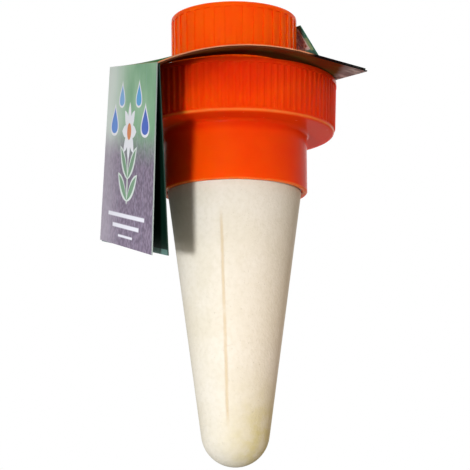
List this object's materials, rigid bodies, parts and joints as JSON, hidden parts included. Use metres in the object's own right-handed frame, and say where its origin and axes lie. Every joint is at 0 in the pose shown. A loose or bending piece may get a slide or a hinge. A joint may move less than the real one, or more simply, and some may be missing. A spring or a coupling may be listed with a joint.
{
  "type": "self watering spike",
  "caption": "Hollow ceramic watering cone under a ribbed plastic head, with a screw-in adapter for a bottle neck and a folded paper leaflet threaded over it.",
  "frame": {"origin": "on the spike's axis at the lower face of the head's skirt, which is the soil line", "axes": "+Z along the spike's axis, from the cone's tip to the bottle socket; +Y away from the leaflet's front"},
  "size_m": [0.0684, 0.0656, 0.1156],
  "materials": {
    "head_plastic": "glossy moulded",
    "adapter_plastic": "glossy moulded",
    "cone_ceramic": "unglazed",
    "bond_compound": "cured compound",
    "seal_rubber": "matt",
    "panel_paper": "printed, satin",
    "cover_paper": "printed, satin",
    "back_paper": "printed, satin"
  },
  "bodies": {
    "head": {"spike_head": "head_plastic", "ceramic_cone": "cone_ceramic", "cone_bond": "bond_compound"},
    "adapter_carrier": {"adapter_seal": "seal_rubber"},
    "adapter": {"bottle_adapter": "adapter_plastic", "bottle_seal": "seal_rubber"},
    "card": {"card_top_panel": "panel_paper", "card_under_panel": "panel_paper"},
    "cover_leaf": {"card_cover_leaf": "cover_paper"},
    "back_leaf": {"card_back_leaf": "back_paper"},
    "end_flap": {"card_end_flap": "back_paper"}
  },
  "joints": [
    {"name": "adapter_rise", "type": "slide", "parent": "head", "child": "adapter_carrier", "axis": [0, 0, 1], "range_m": [0, 0.00801]},
    {"name": "adapter_turn", "type": "hinge", "parent": "adapter_carrier", "child": "adapter", "pos_m": [0, 0, 0.02854], "axis": [0, 0, 1], "range_deg": [0, 720]},
    {"name": "card_swivel", "type": "hinge", "parent": "adapter_carrier", "child": "card", "pos_m": [0, 0, 0.02854], "axis": [0, 0, 1], "continuous": true},
    {"name": "cover_leaf_lift", "type": "hinge", "parent": "card", "child": "cover_leaf", "pos_m": [-0.02528, -0.01553, 0.02953], "axis": [-0.283, 0.9274, 0.2444], "range_deg": [0, 90]},
    {"name": "back_leaf_lift", "type": "hinge", "parent": "card", "child": "back_leaf", "pos_m": [-0.02481, -0.01536, 0.02928], "axis": [-0.2848, 0.9277, 0.2414], "range_deg": [0, 72.5]},
    {"name": "end_flap_fold", "type": "hinge", "parent": "card", "child": "end_flap", "pos_m": [0.02147, 0.00973, 0.03192], "axis": [-0.3405, 0.9282, 0.1498], "range_deg": [0, 115]}
  ],
  "couplings": [
    {"joint": "adapter_rise", "follows": "adapter_turn", "m_per_rad": 0.00063662},
    {"joint": "back_leaf_lift", "follows": "cover_leaf_lift", "ratio": 0.8}
  ]
}
